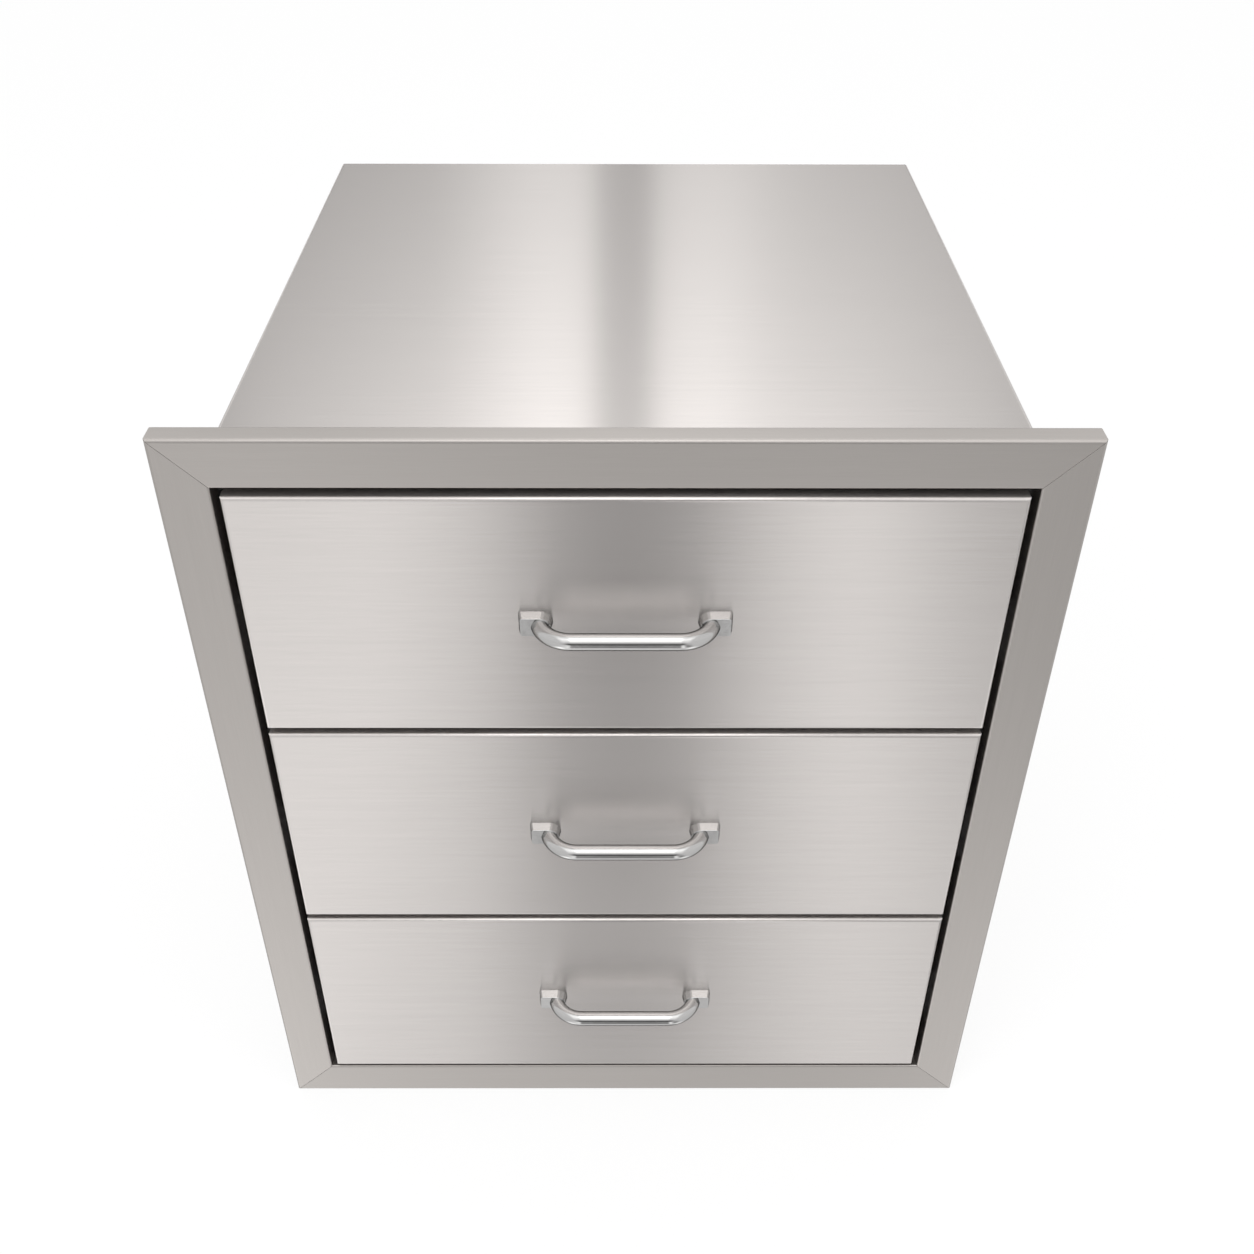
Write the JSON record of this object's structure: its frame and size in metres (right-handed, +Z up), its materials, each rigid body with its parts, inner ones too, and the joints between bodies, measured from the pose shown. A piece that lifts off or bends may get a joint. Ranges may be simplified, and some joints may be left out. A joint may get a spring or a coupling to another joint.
{
  "type": "outdoor kitchen drawer unit",
  "caption": "Built-in stainless steel drawer unit for an outdoor kitchen: sheet cabinet, mitred trim frame and bar-handled drawers that open fully on telescopic ball-bearing slides.",
  "frame": {"origin": "middle of the unit on the cabinet's underside, in the plane of the island face that the trim seats on", "axes": "+X to the right seen from in front, +Y into the island, +Z up; the drawers open towards -Y"},
  "size_m": [0.508, 0.5184, 0.577],
  "materials": {
    "brushed_stainless": "directional brushed grain",
    "plain_stainless": "plain mill finish",
    "polished_stainless": "polished",
    "slide_steel": "bright zinc plate",
    "cage_steel": "pressed strip with steel balls",
    "screw_steel": "plain stainless",
    "lever_plastic": "moulded black",
    "stop_rubber": "moulded"
  },
  "bodies": {
    "cabinet": {"cabinet_wrap": "brushed_stainless", "cabinet_floor": "plain_stainless", "cabinet_back": "plain_stainless", "trim_top": "brushed_stainless", "trim_bottom": "brushed_stainless", "trim_left": "brushed_stainless", "trim_right": "brushed_stainless", "upright_front_left": "plain_stainless", "upright_front_right": "plain_stainless", "upright_rear_left": "plain_stainless", "upright_rear_right": "plain_stainless", "slide_screws": "screw_steel", "slide_stops": "stop_rubber", "bottom_slide_outer_left": "slide_steel", "bottom_slide_outer_right": "slide_steel", "middle_slide_outer_left": "slide_steel", "middle_slide_outer_right": "slide_steel", "top_slide_outer_left": "slide_steel", "top_slide_outer_right": "slide_steel"},
    "bottom_drawer": {"bottom_front_shell": "brushed_stainless", "bottom_front_liner": "plain_stainless", "bottom_box_tray": "plain_stainless", "bottom_box_back": "plain_stainless", "bottom_handle_bar": "polished_stainless", "bottom_handle_bases": "polished_stainless", "bottom_handle_screws": "screw_steel", "bottom_slide_inners": "slide_steel"},
    "bottom_intermediates": {"bottom_slide_intermediates": "slide_steel"},
    "bottom_outer_cages": {"bottom_ball_cages_outer": "cage_steel"},
    "bottom_inner_cages": {"bottom_ball_cages_inner": "cage_steel"},
    "bottom_lever_left": {"bottom_release_lever_left": "lever_plastic"},
    "bottom_lever_right": {"bottom_release_lever_right": "lever_plastic"},
    "middle_drawer": {"middle_front_shell": "brushed_stainless", "middle_front_liner": "plain_stainless", "middle_box_tray": "plain_stainless", "middle_box_back": "plain_stainless", "middle_handle_bar": "polished_stainless", "middle_handle_bases": "polished_stainless", "middle_handle_screws": "screw_steel", "middle_slide_inners": "slide_steel"},
    "middle_intermediates": {"middle_slide_intermediates": "slide_steel"},
    "middle_outer_cages": {"middle_ball_cages_outer": "cage_steel"},
    "middle_inner_cages": {"middle_ball_cages_inner": "cage_steel"},
    "middle_lever_left": {"middle_release_lever_left": "lever_plastic"},
    "middle_lever_right": {"middle_release_lever_right": "lever_plastic"},
    "top_drawer": {"top_front_shell": "brushed_stainless", "top_front_liner": "plain_stainless", "top_box_tray": "plain_stainless", "top_box_back": "plain_stainless", "top_handle_bar": "polished_stainless", "top_handle_bases": "polished_stainless", "top_handle_screws": "screw_steel", "top_slide_inners": "slide_steel"},
    "top_intermediates": {"top_slide_intermediates": "slide_steel"},
    "top_outer_cages": {"top_ball_cages_outer": "cage_steel"},
    "top_inner_cages": {"top_ball_cages_inner": "cage_steel"},
    "top_lever_left": {"top_release_lever_left": "lever_plastic"},
    "top_lever_right": {"top_release_lever_right": "lever_plastic"}
  },
  "joints": [
    {"name": "bottom_drawer_slide", "type": "slide", "parent": "cabinet", "child": "bottom_drawer", "axis": [0, -1, 0], "range_m": [0, 0.43]},
    {"name": "bottom_intermediates_slide", "type": "slide", "parent": "cabinet", "child": "bottom_intermediates", "axis": [0, -1, 0], "range_m": [0, 0.215]},
    {"name": "bottom_outer_cages_slide", "type": "slide", "parent": "cabinet", "child": "bottom_outer_cages", "axis": [0, -1, 0], "range_m": [0, 0.1075]},
    {"name": "bottom_inner_cages_slide", "type": "slide", "parent": "cabinet", "child": "bottom_inner_cages", "axis": [0, -1, 0], "range_m": [0, 0.3225]},
    {"name": "bottom_lever_left_tip", "type": "hinge", "parent": "bottom_drawer", "child": "bottom_lever_left", "pos_m": [-0.2129, 0.192, 0.072], "axis": [1, 0, 0], "range_deg": [0, 6], "stiffness_Nm_per_rad": 0.05},
    {"name": "bottom_lever_right_tip", "type": "hinge", "parent": "bottom_drawer", "child": "bottom_lever_right", "pos_m": [0.2129, 0.192, 0.072], "axis": [1, 0, 0], "range_deg": [-6, 0], "stiffness_Nm_per_rad": 0.05},
    {"name": "middle_drawer_slide", "type": "slide", "parent": "cabinet", "child": "middle_drawer", "axis": [0, -1, 0], "range_m": [0, 0.43]},
    {"name": "middle_intermediates_slide", "type": "slide", "parent": "cabinet", "child": "middle_intermediates", "axis": [0, -1, 0], "range_m": [0, 0.215]},
    {"name": "middle_outer_cages_slide", "type": "slide", "parent": "cabinet", "child": "middle_outer_cages", "axis": [0, -1, 0], "range_m": [0, 0.1075]},
    {"name": "middle_inner_cages_slide", "type": "slide", "parent": "cabinet", "child": "middle_inner_cages", "axis": [0, -1, 0], "range_m": [0, 0.3225]},
    {"name": "middle_lever_left_tip", "type": "hinge", "parent": "middle_drawer", "child": "middle_lever_left", "pos_m": [-0.2129, 0.192, 0.24283], "axis": [1, 0, 0], "range_deg": [0, 6], "stiffness_Nm_per_rad": 0.05},
    {"name": "middle_lever_right_tip", "type": "hinge", "parent": "middle_drawer", "child": "middle_lever_right", "pos_m": [0.2129, 0.192, 0.24283], "axis": [1, 0, 0], "range_deg": [-6, 0], "stiffness_Nm_per_rad": 0.05},
    {"name": "top_drawer_slide", "type": "slide", "parent": "cabinet", "child": "top_drawer", "axis": [0, -1, 0], "range_m": [0, 0.43]},
    {"name": "top_intermediates_slide", "type": "slide", "parent": "cabinet", "child": "top_intermediates", "axis": [0, -1, 0], "range_m": [0, 0.215]},
    {"name": "top_outer_cages_slide", "type": "slide", "parent": "cabinet", "child": "top_outer_cages", "axis": [0, -1, 0], "range_m": [0, 0.1075]},
    {"name": "top_inner_cages_slide", "type": "slide", "parent": "cabinet", "child": "top_inner_cages", "axis": [0, -1, 0], "range_m": [0, 0.3225]},
    {"name": "top_lever_left_tip", "type": "hinge", "parent": "top_drawer", "child": "top_lever_left", "pos_m": [-0.2129, 0.192, 0.41367], "axis": [1, 0, 0], "range_deg": [0, 6], "stiffness_Nm_per_rad": 0.05},
    {"name": "top_lever_right_tip", "type": "hinge", "parent": "top_drawer", "child": "top_lever_right", "pos_m": [0.2129, 0.192, 0.41367], "axis": [1, 0, 0], "range_deg": [-6, 0], "stiffness_Nm_per_rad": 0.05}
  ],
  "couplings": [
    {"joint": "bottom_intermediates_slide", "follows": "bottom_drawer_slide", "ratio": 0.5},
    {"joint": "bottom_outer_cages_slide", "follows": "bottom_drawer_slide", "ratio": 0.25},
    {"joint": "bottom_inner_cages_slide", "follows": "bottom_drawer_slide", "ratio": 0.75},
    {"joint": "middle_intermediates_slide", "follows": "middle_drawer_slide", "ratio": 0.5},
    {"joint": "middle_outer_cages_slide", "follows": "middle_drawer_slide", "ratio": 0.25},
    {"joint": "middle_inner_cages_slide", "follows": "middle_drawer_slide", "ratio": 0.75},
    {"joint": "top_intermediates_slide", "follows": "top_drawer_slide", "ratio": 0.5},
    {"joint": "top_outer_cages_slide", "follows": "top_drawer_slide", "ratio": 0.25},
    {"joint": "top_inner_cages_slide", "follows": "top_drawer_slide", "ratio": 0.75}
  ]
}
